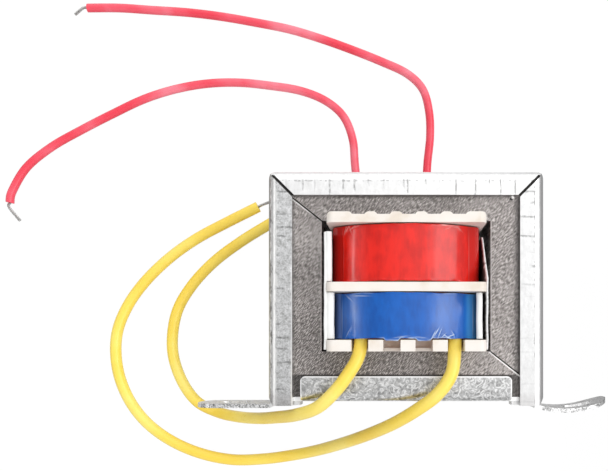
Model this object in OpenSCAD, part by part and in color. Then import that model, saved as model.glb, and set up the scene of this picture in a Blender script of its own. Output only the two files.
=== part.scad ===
// Small mains transformer with two slotted feet, lying on its back with its leads spread out.
// X runs from foot to foot, Y from the feet to the top of the frame, Z from the surface it lies on to its front.

/* [Core] */
// Width of the lamination stack across its legs
core_w = 49; // [46:0.5:54]
// Height of the lamination stack, yoke to yoke
core_h = 40.6; // [38:0.2:46]
// Thickness of the lamination stack
core_t = 20; // [16:0.5:26]
// Width of the centre leg
centre_leg_w = 15; // [12:0.5:16]
// Width of each outer leg
outer_leg_w = 9; // [7.5:0.1:9.5]
// Height of each yoke
yoke_h = 8.3; // [7:0.1:9]
// Distance from the core's corner to the outer end of a mitred joint
mitre_drop = 1.2; // [0.5:0.1:2]
// Gap at the joints between the two stacks
joint_gap = 0.3; // [0.1:0.05:0.4]

/* [Clamp frame] */
// Thickness of the frame's sheet steel
sheet_t = 0.8; // [0.7:0.1:1.2]
// Width of the flanges folded over the core's faces
frame_flange_w = 4.5; // [3.5:0.1:5]
// Outer radius of the folds
fold_r = 1.8; // [1.2:0.1:2]
// Gap between the mitred ends of the flanges
mitre_gap = 0.5; // [0.3:0.1:1]
// How far the frame's sides run down past the base plate
skirt_h = 0.8; // [0.3:0.1:1.2]
// Width that is cut slanting off the flanges' lower outer corners
clip_w = 0.9; // [0.5:0.1:1.5]
// Height of those cuts
clip_h = 1.6; // [1:0.1:2.2]
// Length of the tabs folded in under the base plate
tab_len = 5; // [3:0.5:7]
// Width of each tab
tab_w = 3.4; // [2.5:0.1:3.8]
// Width of the relief cuts beside each foot
relief_w = 0.6; // [0.4:0.1:0.8]
// Height of the relief cuts
relief_h = 2; // [1.5:0.1:3]

/* [Feet] */
// Distance from foot tip to foot tip with both feet straight
feet_span = 81.2; // [78:0.2:88]
// Distance from a foot's tip to its slot's centre
slot_setback = 6.8; // [5.6:0.1:7.2]
// Width of the slots
slot_w = 3.6; // [3:0.1:4.2]
// Length of the slots, end to end
slot_len = 6.2; // [5:0.1:6.8]
// Width of each foot
foot_w = 10; // [9:0.5:10]
// Rounding of the feet's tips
foot_tip_r = 4.3; // [1:0.1:4.4]
// How far the feet stand below the tabs
foot_drop = 0.9; // [0.4:0.1:1.2]
// Radius to which the right foot is bent up
foot_bow_r = 20; // [16:1:40]
// Distance from the right slot's centre in to the lowest point of the bend
bow_shift = 3.3; // [0:0.1:4.5]
// How far that point lies below the straight foot
bow_drop = 0.9; // [0:0.1:1.5]
// How far the bend draws the right foot's tip in
bow_pull = 1.6; // [0:0.1:1.8]

/* [Base plate] */
// Thickness of the base plate
base_t = 0.8; // [0.7:0.1:1.2]
// Gap between the ends of the base plate's flanges and the frame's flanges
base_side_gap = 1.5; // [0.8:0.1:4]
// Height of those flanges, underside included
base_flange_h = 4.6; // [3.5:0.1:6]
// Rounding of their upper corners
base_corner_r = 0.9; // [0.5:0.1:2]
// Gap between the base plate's tongues and the frame
base_gap = 0.3; // [0.2:0.1:0.6]

/* [Bobbin] */
// How far the bobbin's flanges stand out past the core's faces
flange_out = 8; // [7:0.1:9]
// Gap between the flanges and the outer legs
flange_side_gap = 1.6; // [1:0.05:2]
// Corner rounding of the flanges
flange_r = 1.2; // [0.6:0.1:2]
// Clearance of the bobbin on the core
bobbin_fit = 0.1; // [0.1:0.05:0.2]
// Play between the bobbin's top and the upper yoke
bobbin_play = 0.2; // [0.1:0.1:0.8]
// Wall of the tube round the centre leg
tube_wall = 1; // [0.8:0.1:1.2]
// Thickness of the top flange
top_flange_t = 1.4; // [1:0.1:1.6]
// Height of the lugs on the top flange
lug_h = 0.45; // [0.3:0.05:1.2]
// Width of each lug
lug_w = 2.3; // [1.8:0.1:3]
// Distance from the flange's end to the middle of its end lug
lug_edge = 3; // [2.6:0.05:3.4]
// Number of lugs on each edge
lug_count = 6; // [4:2:6]
// Thickness of the divider between the windings
divider_t = 1.6; // [1.2:0.1:2.2]
// Height of the space for the secondary winding
secondary_h = 8.4; // [7:0.1:9]
// Thickness of the lip along the bottom flange
lip_t = 0.6; // [0.5:0.1:0.9]
// Thickness of the blocks inside the lip
block_t = 1.4; // [1.2:0.1:2]
// Width of the lead notches in the bottom flange
notch_w = 3; // [2.8:0.1:3.4]
// Distance from the flange's ends to the middles of its outer notches
notch_edge = 5.55; // [4.5:0.05:7]
// Number of lead notches on each edge
notch_count = 4; // [2:1:4]
// Depth of the notches through the lip
notch_depth = 5.2; // [5.2:0.1:5.8]
// Depth of the pocket behind the lip
pocket_depth = 6; // [5.8:0.1:6.8]

/* [Windings] */
// Gap between the tape and the flanges' front and rear edges
tape_inset = 0.1; // [0.1:0.1:0.8]
// Gap between the primary's tape and the flanges' ends
primary_side = 0.75; // [0.5:0.05:1.2]
// Gap between the secondary's tape and the flanges' ends
secondary_side = 1; // [0.8:0.05:1.6]
// Corner rounding of the wound coils
coil_r = 3; // [2:0.1:4]
// Radius to which the coils bow out at the front and rear
coil_bow_r = 20; // [18:0.5:40]
// Thickness of the tape wrap
tape_t = 0.3; // [0.2:0.05:0.35]
// Clearance between a coil and the bobbin
coil_fit = 0.15; // [0.1:0.05:0.25]

/* [Liners] */
// Thickness of the paper liner on the left
left_liner_t = 0.5; // [0.3:0.05:0.8]
// Thickness of the paper liner on the right
right_liner_t = 0.3; // [0.2:0.05:0.6]
// How far the liners stand out past the core's faces
liner_out = 7; // [4:0.1:7.6]
// Distance of the liners' upper ends from the window's top
liner_top_gap = 2.9; // [2:0.1:4]
// Distance of the liners' lower ends from the window's bottom
liner_end_gap = 0.4; // [0.3:0.1:1.5]
// How far the right liner's folded part beside the secondary stands out past the core's faces
fold_out = 4; // [2:0.1:6]
// Height of the slanting tear at the right liner's upper front corner
tear_h = 8.3; // [4:0.1:10]
// Depth of that tear
tear_d = 8; // [4:0.1:10]

/* [Leads] */
// Diameter of the primary leads
primary_lead_d = 1.8; // [1.6:0.1:2.1]
// Diameter of the secondary leads
secondary_lead_d = 2.4; // [1.8:0.1:2.4]
// Diameter of the bare conductor ends
conductor_d = 0.6; // [0.4:0.1:0.8]
// Diameter of the soldered splices under the tape
splice_d = 1.4; // [1:0.1:1.6]
// Length of the soldered splices
splice_len = 3; // [2:0.1:4]
// How far a lead reaches in under the tape
lead_tuck = 2.4; // [2:0.1:3]
// Distance from the bobbin's left end to the left primary lead
primary_edge_left = 5.7; // [5.2:0.05:9]
// Distance from the bobbin's right end to the right primary lead
primary_edge_right = 8.9; // [5.2:0.05:10]
// Clearance round a lead in its notch and under the tape
lead_fit = 0.15; // [0.1:0.05:0.2]

/* [Hidden] */
$fn = 48;
// Overshoot of cutting shapes
over = 1;

// Core and its windows, measured from the core's centre
core_x = core_w / 2;
core_y = core_h / 2;
window_x = core_x - outer_leg_w;
window_y = core_y - yoke_h;
core_z0 = flange_out;
core_z1 = flange_out + core_t;
mid_z = flange_out + core_t / 2;

// Frame and base plate
frame_w = core_w + 2 * sheet_t;
frame_top = core_y + sheet_t;
frame_z0 = core_z0 - sheet_t;
frame_z1 = core_z1 + sheet_t;
base_y = -core_y - base_t;
skirt_y = base_y - skirt_h;
tab_y = base_y - sheet_t;
foot_y = tab_y - foot_drop;
bow_y = foot_y - bow_drop;
// Height to which the tabs and feet run up inside the side walls
root_y = skirt_y + relief_h + over;
slot_pitch = feet_span - 2 * slot_setback;
bow_x = slot_pitch / 2 - bow_shift;
foot_z0 = mid_z - foot_w / 2;
foot_z1 = mid_z + foot_w / 2;
base_flange_len = frame_w - 2 * (frame_flange_w + base_side_gap);
// The bowed foot reaches less far out and lower than the straight one, so the part's middle lies off the frame's
middle_x = bow_pull / 2;
middle_y = bow_drop / 2;
// Height of the core's centre when Y = 0 is midway between the frame's top and the bow's lowest line
lift_y = middle_y - (frame_top + foot_y) / 2;

// Bobbin
flange_w = 2 * (window_x - flange_side_gap);
flange_d = core_t + 2 * flange_out;
bobbin_y0 = -window_y + bobbin_fit;
bobbin_y1 = window_y - bobbin_play;
secondary_y0 = bobbin_y0 + lip_t + block_t;
secondary_y1 = secondary_y0 + secondary_h;
primary_y0 = secondary_y1 + divider_t;
primary_y1 = bobbin_y1 - top_flange_t;
tube_x = centre_leg_w + 2 * bobbin_fit;
tube_z = core_t + 2 * bobbin_fit;
// The lugs and notches sit a little off the bobbin's middle
lug_shift = 0.4;
notch_shift = 0.25;
lug_r = 0.8;
lug_pitch = (flange_w - 2 * lug_edge) / (lug_count - 1);
notch_pitch = (flange_w - 2 * notch_edge) / (notch_count - 1);

// Inner ends of the leads under the tape: place along X and Z, then the height at which the lead ends
bow_z = flange_d - tape_inset - coil_bow_r;
primary_end_y = primary_y1 - lead_tuck;
secondary_end_y = secondary_y0 + lead_tuck;
primary_x_left = -flange_w / 2 + primary_edge_left;
primary_x_right = flange_w / 2 - primary_edge_right;
secondary_x_left = notch_shift - flange_w / 2 + notch_edge;
secondary_x_right = notch_shift + flange_w / 2 - notch_edge;
primary_start_left = [primary_x_left, flange_d - bow_z - bed(primary_x_left, primary_lead_d)];
primary_start_right = [primary_x_right, flange_d - bow_z - bed(primary_x_right, primary_lead_d)];
secondary_start_left = [secondary_x_left, bow_z + bed(secondary_x_left, secondary_lead_d)];
secondary_start_right = [secondary_x_right, bow_z + bed(secondary_x_right, secondary_lead_d)];

// Routes of the leads along their middles, from under the tape to the cut end, drawn about the frame's middle
primary_route_left = [
  [-8.2, 8.85, 3.35], [-8.2, 13.2, 3.35], [-9, 18.5, 2.4], [-10.3, 24, 0.95], [-11, 30, 0.95],
  [-11.5, 35.5, 0.95], [-13.5, 40.5, 0.95], [-17.5, 44, 0.95], [-23, 46.2, 0.95], [-29.5, 47.3, 0.95],
  [-36.5, 48, 0.95], [-43.5, 47.8, 0.95], [-50.5, 46.6, 0.95], [-57.5, 44.4, 0.95], [-64.5, 41.1, 0.95],
  [-71.5, 37.5, 0.95], [-78, 33.8, 0.95], [-83.5, 29.3, 0.95], [-86.7, 24, 0.95], [-87.2, 21.5, 0.95]
];
primary_route_right = [
  [5, 8.85, 2.15], [5, 13.2, 2.15], [4.9, 18.5, 1.7], [4.8, 24, 0.95], [5, 30, 0.95],
  [5.6, 36, 0.95], [5.4, 41.5, 0.95], [4, 46.5, 0.95], [0.5, 50, 0.95], [-5, 52.6, 0.95],
  [-11.5, 55.2, 0.95], [-18.5, 57.7, 0.95], [-25.5, 59.8, 0.95], [-33, 61.3, 0.95], [-40.5, 62.6, 0.95],
  [-48, 63.5, 0.95], [-55.5, 64, 0.95], [-63, 64.5, 0.95], [-70, 64.5, 0.95]
];
secondary_route_left = [
  [-8.1, -6.65, 32.35], [-8.1, -10, 32.35], [-8.7, -12.4, 32.4], [-10.1, -14.8, 32.4], [-12.5, -18, 32],
  [-16, -21.2, 30.4], [-20.4, -22.9, 26.4], [-25, -24, 19.8], [-30, -24.9, 13], [-35.5, -25.2, 6.8], [-41, -24.6, 2.4],
  [-46, -22.2, 1.3], [-49.5, -17, 1.3], [-51.2, -10.5, 1.3], [-50.3, -3, 1.3], [-47, 3, 1.3],
  [-42, 8.4, 1.3], [-36, 12.9, 1.3], [-30, 16.6, 1.3], [-26.5, 18.6, 1.3]
];
secondary_route_right = [
  [8.6, -6.65, 32.1], [8.6, -10.8, 32.1], [8, -15, 32.6], [5.6, -18.6, 32.4], [2, -21.6, 30.2],
  [-2.4, -24.6, 26], [-7.4, -27.4, 19.8], [-12.8, -30, 13], [-18.6, -32.3, 7], [-24.8, -34, 3],
  [-31, -35, 1.5], [-38, -35.2, 1.3], [-45, -33.8, 1.3], [-51.5, -31, 1.3], [-57, -26.9, 1.3],
  [-61, -21.5, 1.3], [-63.3, -15, 1.3], [-63.5, -8, 1.3], [-61.4, -2, 1.3], [-57.5, 3.7, 1.3],
  [-52, 9.1, 1.3], [-46, 13.4, 1.3], [-39.5, 16.9, 1.3], [-32.3, 20.5, 1.3]
];
// Routes of the bare conductor ends, each from the cut end of its lead
primary_tip_left = [[-87.2, 21.5, 0.95], [-87.4, 20.5, 0.95], [-85.2, 17.6, 0.45]];
primary_tip_right = [[-70, 64.5, 0.95], [-71, 64.5, 0.95], [-73, 63.3, 0.45]];
secondary_tip_left = [[-26.5, 18.6, 1.3], [-25.8, 19, 1.3], [-23.6, 20, 0.8]];
secondary_tip_right = [[-32.3, 20.5, 1.3], [-31.3, 21, 1.3], [-29.9, 21.6, 1]];
cord_sides = 8;

zinc = [0.78, 0.79, 0.8];
lamination = [0.42, 0.4, 0.38];
cream = [0.95, 0.93, 0.88];
copper = [0.72, 0.42, 0.2];
red = [0.85, 0.12, 0.1];
blue = [0.1, 0.3, 0.75];
lead_red = [0.95, 0.3, 0.36];
lead_yellow = [0.98, 0.82, 0.2];
tin = [0.6, 0.6, 0.6];

// Extrudes an outline drawn in X and Z along Y
module along_y(y0, y1) {
  translate([0, y1, 0])
    rotate([90, 0, 0])
      linear_extrude(y1 - y0)
        children();
}

// Extrudes an outline drawn in Y and Z along X
module along_x(x0, x1) {
  translate([x0, 0, 0])
    rotate([90, 0, 90])
      linear_extrude(x1 - x0)
        children();
}

// Extrudes an outline drawn in X and Y along Z
module along_z(z0, z1) {
  translate([0, 0, z0])
    linear_extrude(z1 - z0)
      children();
}

// Rectangle from its two corners
module area(x0, y0, x1, y1) {
  translate([x0, y0])
    square([x1 - x0, y1 - y0]);
}

// Rectangle about its middle with round corners
module round_rect(w, h, r) {
  square([w - 2 * r, h], center = true);
  square([w, h - 2 * r], center = true);
  for (sx = [-1, 1], sy = [-1, 1])
    translate([sx * (w / 2 - r), sy * (h / 2 - r)])
      circle(r);
}

// What a rounding takes off a corner that lies at the origin, with the solid towards +X and +Y
module corner_cut(r) {
  difference() {
    translate([-over, -over])
      square(r + over);
    translate([r, r])
      circle(r);
  }
}

// Rectangle from its two corners with some corners round, counted from the lower left one, anticlockwise
module round_area(x0, y0, x1, y1, r, corners) {
  difference() {
    area(x0, y0, x1, y1);
    for (k = corners)
      translate([k == 1 || k == 2 ? x1 : x0, k > 1 ? y1 : y0])
        rotate(90 * k)
          corner_cut(r);
  }
}

// Everything but the leads is drawn about the core's centre and lifted into place
module in_place() {
  translate([middle_x, lift_y, 0])
    children();
}

// One stack of laminations: a yoke, an outer leg and half of the centre leg
module core_stack() {
  gap = joint_gap / 2;
  leg = centre_leg_w / 2;
  along_z(core_z0, core_z1)
    polygon([
      [-core_x, core_y],
      [core_x, core_y],
      [core_x, -core_y + mitre_drop + gap],
      [window_x, -window_y + gap],
      [window_x, window_y],
      [leg, window_y],
      [leg, gap],
      [-leg, gap],
      [-leg, window_y],
      [-window_x, window_y],
      [-window_x, window_y + gap],
      [-core_x, core_y - mitre_drop + gap]
    ]);
}

module core_upper() {
  color(lamination)
    in_place()
      core_stack();
}

module core_lower() {
  color(lamination)
    in_place()
      rotate([0, 0, 180])
        core_stack();
}

// Outline of the frame's front, set in from its outer faces
module frame_outline(inset, bottom) {
  half = frame_w / 2 - inset;
  round_area(-half, bottom, half, frame_top - inset, fold_r, [2, 3]);
}

// Top and side walls with the flanges folded over the core's front and rear faces
module frame_shell() {
  diagonal = frame_flange_w * sqrt(2);
  intersection() {
    union() {
      along_z(frame_z0, frame_z1)
        difference() {
          frame_outline(0, skirt_y);
          area(-core_x, skirt_y - over, core_x, core_y);
        }
      for (z0 = [frame_z0, core_z1])
        along_z(z0, z0 + sheet_t)
          difference() {
            frame_outline(0, skirt_y);
            area(-frame_w / 2 + frame_flange_w, skirt_y - over,
                 frame_w / 2 - frame_flange_w, frame_top - frame_flange_w);
            for (side = [-1, 1])
              translate([side * (frame_w / 2 - frame_flange_w), frame_top - frame_flange_w])
                rotate(-side * 45)
                  area(-mitre_gap / 2, -over, mitre_gap / 2, diagonal);
          }
    }
    along_y(skirt_y - over, frame_top + over)
      translate([0, mid_z])
        round_rect(frame_w, frame_z1 - frame_z0, fold_r);
    along_x(-frame_w, frame_w)
      round_area(skirt_y - over, frame_z0, frame_top, frame_z1, fold_r, [1, 2]);
  }
}

// Section of a tab folded in under the base plate, on the right side
module tab_section() {
  difference() {
    union() {
      area(core_x, tab_y, frame_w / 2, root_y);
      area(core_x - tab_len, tab_y, frame_w / 2, base_y);
    }
    translate([frame_w / 2, tab_y])
      rotate(90)
        corner_cut(fold_r);
  }
}

// Section of the straight foot, drawn on the right side
module straight_foot_section() {
  bend = fold_r - sheet_t;
  difference() {
    union() {
      area(core_x, foot_y, frame_w / 2, root_y);
      area(core_x, foot_y, feet_span / 2, foot_y + sheet_t);
      area(frame_w / 2, foot_y, frame_w / 2 + bend, foot_y + sheet_t + bend);
    }
    translate([core_x, foot_y])
      corner_cut(fold_r);
    translate([frame_w / 2 + bend, foot_y + sheet_t + bend])
      circle(bend);
  }
}

// Section of the foot that is bent down and up again in a bow
module bowed_foot_section() {
  intersection() {
    union() {
      area(core_x, bow_y - over, frame_w / 2, root_y);
      difference() {
        area(core_x, bow_y - over, feet_span / 2, skirt_y + relief_h);
        translate([bow_x, bow_y + foot_bow_r])
          circle(foot_bow_r - sheet_t);
      }
    }
    translate([bow_x, bow_y + foot_bow_r])
      circle(foot_bow_r);
  }
}

// Outline of a slot along X
module slot() {
  reach = (slot_len - slot_w) / 2;
  square([2 * reach, slot_w], center = true);
  for (side = [-1, 1])
    translate([side * reach, 0])
      circle(d = slot_w);
}

// Cuts a foot's tip round and its slot through
module foot(side) {
  reach = feet_span / 2 - (side > 0 ? bow_pull : 0);
  difference() {
    intersection() {
      mirror([side < 0 ? 1 : 0, 0, 0])
        along_z(foot_z0, foot_z1)
          children();
      along_y(bow_y - over, root_y + over)
        translate([0, mid_z])
          round_rect(2 * reach, foot_w, foot_tip_r);
    }
    along_y(bow_y - over, core_y)
      translate([side * slot_pitch / 2, mid_z])
        slot();
  }
}

module frame() {
  tab_z = foot_w / 2 + relief_w;
  color(zinc)
    in_place() {
      difference() {
        frame_shell();
        for (side = [-1, 1])
          along_y(skirt_y - over, skirt_y + relief_h)
            translate([side * frame_w / 2, mid_z])
              square([2 * sheet_t + over, 2 * (tab_z + tab_w)], center = true);
        for (side = [0, 1])
          mirror([side, 0, 0])
            along_z(frame_z0 - over, frame_z1 + over)
              translate([frame_w / 2, skirt_y])
                polygon([[-2 * clip_w, -clip_h], [clip_w, -clip_h], [clip_w, 2 * clip_h]]);
      }
      for (side = [0, 1], end = [-1, 1])
        mirror([side, 0, 0])
          translate([0, 0, mid_z + end * (tab_z + tab_w / 2)])
            along_z(-tab_w / 2, tab_w / 2)
              tab_section();
      foot(-1)
        straight_foot_section();
      foot(1)
        bowed_foot_section();
    }
}

// Channel under the core, held up by the frame's tabs
module base_plate() {
  tongue_x = core_x - base_gap;
  front_z = core_z1 + base_t;
  rear_z = core_z0 - base_t;
  top_y = base_y + base_flange_h;
  color(zinc)
    in_place() {
      intersection() {
        along_x(-base_flange_len / 2, base_flange_len / 2)
          difference() {
            round_area(base_y, rear_z, top_y, front_z, fold_r, [0, 3]);
            area(-core_y, core_z0, top_y + over, core_z1);
          }
        along_z(rear_z, front_z)
          round_area(-base_flange_len / 2, base_y - over, base_flange_len / 2, top_y, base_corner_r, [2, 3]);
      }
      along_y(base_y, -core_y)
        area(-tongue_x, core_z0 + base_gap, tongue_x, core_z1 - base_gap);
    }
}

// Outline of a bobbin flange, open for the centre leg
module flange_outline() {
  translate([0, mid_z])
    difference() {
      round_rect(flange_w, flange_d, flange_r);
      square([tube_x, tube_z], center = true);
    }
}

// Row of lugs that stand on the top flange, in front of the core
module lug_row() {
  for (i = [0 : lug_count - 1])
    let (
      middle = lug_shift + (i - (lug_count - 1) / 2) * lug_pitch,
      first = i == 0 ? -flange_w / 2 : middle - lug_w / 2,
      last = i == lug_count - 1 ? flange_w / 2 : middle + lug_w / 2
    )
      round_area(first, bobbin_y1 - top_flange_t / 2, last, bobbin_y1 + lug_h, lug_r, [2, 3]);
}

// Pockets along one edge of the bottom flange, cut low through the lip and deeper behind it
module notch_row() {
  for (i = [0 : notch_count - 1])
    translate([notch_shift + (i - (notch_count - 1) / 2) * notch_pitch, 0, 0]) {
      along_y(bobbin_y0 - over, secondary_y0 + over)
        area(-notch_w / 2, flange_d - notch_depth, notch_w / 2, flange_d + over);
      along_y(bobbin_y0 + lip_t, secondary_y0 + over)
        area(-notch_w / 2, flange_d - pocket_depth, notch_w / 2, flange_d + over);
    }
}

// Passage for a primary lead through the top flange's rear edge
module lead_passage(start) {
  r = primary_lead_d / 2 + lead_fit;
  along_y(primary_y1 - over, bobbin_y1 + lug_h + over)
    translate(start) {
      circle(r);
      area(-r, -start.y - over, r, 0);
    }
}

module bobbin() {
  color(cream)
    in_place()
      difference() {
        union() {
          along_y(bobbin_y0, bobbin_y1)
            translate([0, mid_z])
              difference() {
                square([tube_x + 2 * tube_wall, tube_z + 2 * tube_wall], center = true);
                square([tube_x, tube_z], center = true);
              }
          along_y(primary_y1, bobbin_y1)
            flange_outline();
          along_y(secondary_y1, primary_y0)
            flange_outline();
          along_y(bobbin_y0, secondary_y0)
            flange_outline();
          intersection() {
            union() {
              along_z(0, core_z0 - bobbin_fit)
                lug_row();
              along_z(core_z1 + bobbin_fit, flange_d)
                lug_row();
            }
            along_y(primary_y1, bobbin_y1 + lug_h + over)
              translate([0, mid_z])
                round_rect(flange_w, flange_d, flange_r);
          }
        }
        notch_row();
        translate([0, 0, flange_d])
          mirror([0, 0, 1])
            notch_row();
        lead_passage(primary_start_left);
        lead_passage(primary_start_right);
      }
}

// Outline of a wound coil, bowed at the front and rear with rounded corners, set in from its outermost surface
module coil_outline(side_gap, inset) {
  half_w = flange_w / 2 - side_gap;
  half_d = flange_d / 2 - tape_inset;
  set_back = coil_bow_r - half_d;
  reach = coil_bow_r - coil_r;
  corner = [half_w - coil_r, sqrt(reach * reach - pow(half_w - coil_r, 2)) - set_back];
  lean = (corner + [0, set_back]) * 2 * coil_r / reach;
  translate([0, mid_z]) {
    difference() {
      intersection() {
        square([2 * (half_w - inset), 2 * half_d], center = true);
        translate([0, -set_back])
          circle(coil_bow_r - inset);
        translate([0, set_back])
          circle(coil_bow_r - inset);
      }
      for (mx = [0, 1], my = [0, 1])
        mirror([mx, 0])
          mirror([0, my])
            translate(corner)
              polygon([[0, 0], [2 * coil_r, 0], [2 * coil_r, 2 * coil_r], lean]);
    }
    for (sx = [-1, 1], sy = [-1, 1])
      translate([sx * corner.x, sy * corner.y])
        circle(coil_r - inset);
  }
}

// Height over the bow's centre at which a lead lies just under the tape, at some place across the coil
function bed(x, lead_d) =
  let (r = coil_bow_r - tape_t - lead_d / 2 - lead_fit)
  sqrt(r * r - x * x);

// Bed of a lead and its splice in the coil's outer turns; way is +1 for leads that leave upwards
module lead_bed(start, inner, lead_d, way, outward) {
  for (bed = [
    [lead_d / 2 + lead_fit, inner, inner + way * core_h],
    [splice_d / 2 + lead_fit, inner - way * (splice_len + lead_fit), inner + way * over]
  ])
    along_y(min(bed[1], bed[2]), max(bed[1], bed[2]))
      translate(start) {
        circle(bed[0]);
        area(-bed[0], min(0, outward * flange_out), bed[0], max(0, outward * flange_out));
      }
}

// Turns of one winding between its flanges
module coil(y0, y1, side_gap) {
  along_y(y0 + coil_fit, y1 - coil_fit)
    difference() {
      coil_outline(side_gap, tape_t);
      translate([0, mid_z])
        square([tube_x + 2 * (tube_wall + coil_fit), tube_z + 2 * (tube_wall + coil_fit)], center = true);
    }
}

// Tape wrapped round one winding
module tape(y0, y1, side_gap) {
  along_y(y0 + coil_fit, y1 - coil_fit)
    difference() {
      coil_outline(side_gap, 0);
      coil_outline(side_gap, tape_t);
    }
}

module primary_winding() {
  color(copper)
    in_place()
      difference() {
        coil(primary_y0, primary_y1, primary_side);
        lead_bed(primary_start_left, primary_end_y, primary_lead_d, 1, -1);
        lead_bed(primary_start_right, primary_end_y, primary_lead_d, 1, -1);
      }
}

module secondary_winding() {
  color(copper)
    in_place()
      difference() {
        coil(secondary_y0, secondary_y1, secondary_side);
        lead_bed(secondary_start_left, secondary_end_y, secondary_lead_d, -1, 1);
        lead_bed(secondary_start_right, secondary_end_y, secondary_lead_d, -1, 1);
      }
}

module primary_tape() {
  color(red)
    in_place()
      tape(primary_y0, primary_y1, primary_side);
}

module secondary_tape() {
  color(blue)
    in_place()
      tape(secondary_y0, secondary_y1, secondary_side);
}

// Paper along the left ends of the bobbin's flanges
module left_liner() {
  color(cream)
    in_place()
      along_z(core_z0 - liner_out, core_z1 + liner_out)
        area(-flange_w / 2 - left_liner_t, -window_y + liner_end_gap, -flange_w / 2, window_y - liner_top_gap);
}

// Paper along the right ends, torn at its upper front corner and folded in beside the secondary
module right_liner() {
  side = flange_w / 2;
  y0 = -window_y + liner_end_gap;
  y1 = window_y - liner_top_gap;
  z0 = core_z0 - liner_out;
  z1 = core_z1 + liner_out;
  color(cream)
    in_place() {
      along_x(side, side + right_liner_t)
        polygon([[y0, z0], [y1, z0], [y1, z1 - tear_d], [y1 - tear_h, z1], [y0, z1]]);
      along_z(core_z0 - fold_out, core_z1 + fold_out)
        area(side - secondary_side, secondary_y0 + coil_fit, side + right_liner_t, secondary_y1 - coil_fit);
    }
}

function unit(v) = v / norm(v);

function heading(path, i) =
  unit(path[min(i + 1, len(path) - 1)] - path[max(i - 1, 0)]);

// Points round one place of the path, on a ring square to the path's heading
function ring(path, i, r) =
  let (
    ahead = heading(path, i),
    across = unit(cross(ahead, [0, 0, 1])),
    up = cross(across, ahead)
  )
  [for (k = [0 : cord_sides - 1])
    let (turn = 360 * k / cord_sides)
    path[i] + r * (across * cos(turn) + up * sin(turn))];

// Round cord swept along a path, closed by a flat face at each end
module cord(path, d) {
  last = len(path) - 1;
  n = cord_sides;
  points = [for (i = [0 : last]) each ring(path, i, d / 2)];
  walls = [for (i = [0 : last - 1], k = [0 : n - 1])
    let (a = i * n + k, b = i * n + (k + 1) % n)
    each [[a, b, b + n], [a, b + n, a + n]]];
  start_face = [for (k = [n - 1 : -1 : 0]) k];
  end_face = [for (k = [0 : n - 1]) last * n + k];
  translate([middle_x, middle_y, 0])
    polyhedron(points, concat(walls, [start_face, end_face]));
}

module primary_lead_left() {
  color(lead_red)
    cord(primary_route_left, primary_lead_d);
}

module primary_lead_right() {
  color(lead_red)
    cord(primary_route_right, primary_lead_d);
}

module secondary_lead_left() {
  color(lead_yellow)
    cord(secondary_route_left, secondary_lead_d);
}

module secondary_lead_right() {
  color(lead_yellow)
    cord(secondary_route_right, secondary_lead_d);
}

module primary_end_left() {
  color(tin)
    cord(primary_tip_left, conductor_d);
}

module primary_end_right() {
  color(tin)
    cord(primary_tip_right, conductor_d);
}

module secondary_end_left() {
  color(tin)
    cord(secondary_tip_left, conductor_d);
}

module secondary_end_right() {
  color(tin)
    cord(secondary_tip_right, conductor_d);
}

// Soldered joint that goes on from the inner end of a lead, laid along the coil
module splice(start, inner, way) {
  far = inner - way * splice_len;
  color(tin)
    in_place()
      along_y(min(inner, far), max(inner, far))
        translate(start)
          circle(d = splice_d);
}

module primary_splice_left() {
  splice(primary_start_left, primary_end_y, 1);
}

module primary_splice_right() {
  splice(primary_start_right, primary_end_y, 1);
}

module secondary_splice_left() {
  splice(secondary_start_left, secondary_end_y, -1);
}

module secondary_splice_right() {
  splice(secondary_start_right, secondary_end_y, -1);
}

frame();
base_plate();
core_upper();
core_lower();
bobbin();
primary_winding();
secondary_winding();
primary_tape();
secondary_tape();
left_liner();
right_liner();
primary_lead_left();
primary_lead_right();
secondary_lead_left();
secondary_lead_right();
primary_end_left();
primary_end_right();
secondary_end_left();
secondary_end_right();
primary_splice_left();
primary_splice_right();
secondary_splice_left();
secondary_splice_right();
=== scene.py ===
import math

import bpy
import numpy as np
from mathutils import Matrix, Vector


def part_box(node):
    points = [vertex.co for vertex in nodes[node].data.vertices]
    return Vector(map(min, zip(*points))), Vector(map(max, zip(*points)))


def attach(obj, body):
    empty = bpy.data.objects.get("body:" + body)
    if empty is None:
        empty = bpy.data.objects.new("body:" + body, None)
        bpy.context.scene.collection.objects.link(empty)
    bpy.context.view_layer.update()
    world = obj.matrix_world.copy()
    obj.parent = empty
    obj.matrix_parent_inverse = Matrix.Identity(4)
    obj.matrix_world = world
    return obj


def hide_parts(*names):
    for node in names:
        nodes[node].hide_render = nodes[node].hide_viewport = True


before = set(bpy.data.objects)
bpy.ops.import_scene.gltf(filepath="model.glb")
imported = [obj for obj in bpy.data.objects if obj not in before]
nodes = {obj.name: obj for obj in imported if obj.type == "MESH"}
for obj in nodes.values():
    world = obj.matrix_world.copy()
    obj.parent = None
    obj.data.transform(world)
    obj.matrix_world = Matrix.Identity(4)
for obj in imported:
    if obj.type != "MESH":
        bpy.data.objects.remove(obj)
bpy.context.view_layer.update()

MM = 0.001
BODY = "root"
scene = bpy.context.scene
scene.view_settings.view_transform = "Standard"

# Camera: it looks straight down at the part, which lies on its back. The photograph's frame is off
# the lens axis.
PHOTO_W, PHOTO_H = 608, 471
FOCAL_PX = 720.0
AXIS_PX = (398.0, 345.0)
EYE_MM = (-0.68, -9.49, 160.0)
SENSOR_MM = 36.0
CLIP_NEAR_M = 0.01

# Table top and soft boxes in metres, and each box's first and last angle from straight above in degrees
# and its radiance
TABLE_HALF = 3.0
TABLE_DROP = 0.00002
BOX_FAR, BOX_SPACING = 0.9, 0.02
BOX_Y = 0.05
BOX_LENGTH = 1.2
SOFT_BOXES = [
    ("right_box", 30.0, 55.2, 1.5),
    ("right_glow", 22.0, 55.0, 0.6),
    ("left_box", -59.2, -56.4, 4.6),
]

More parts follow.
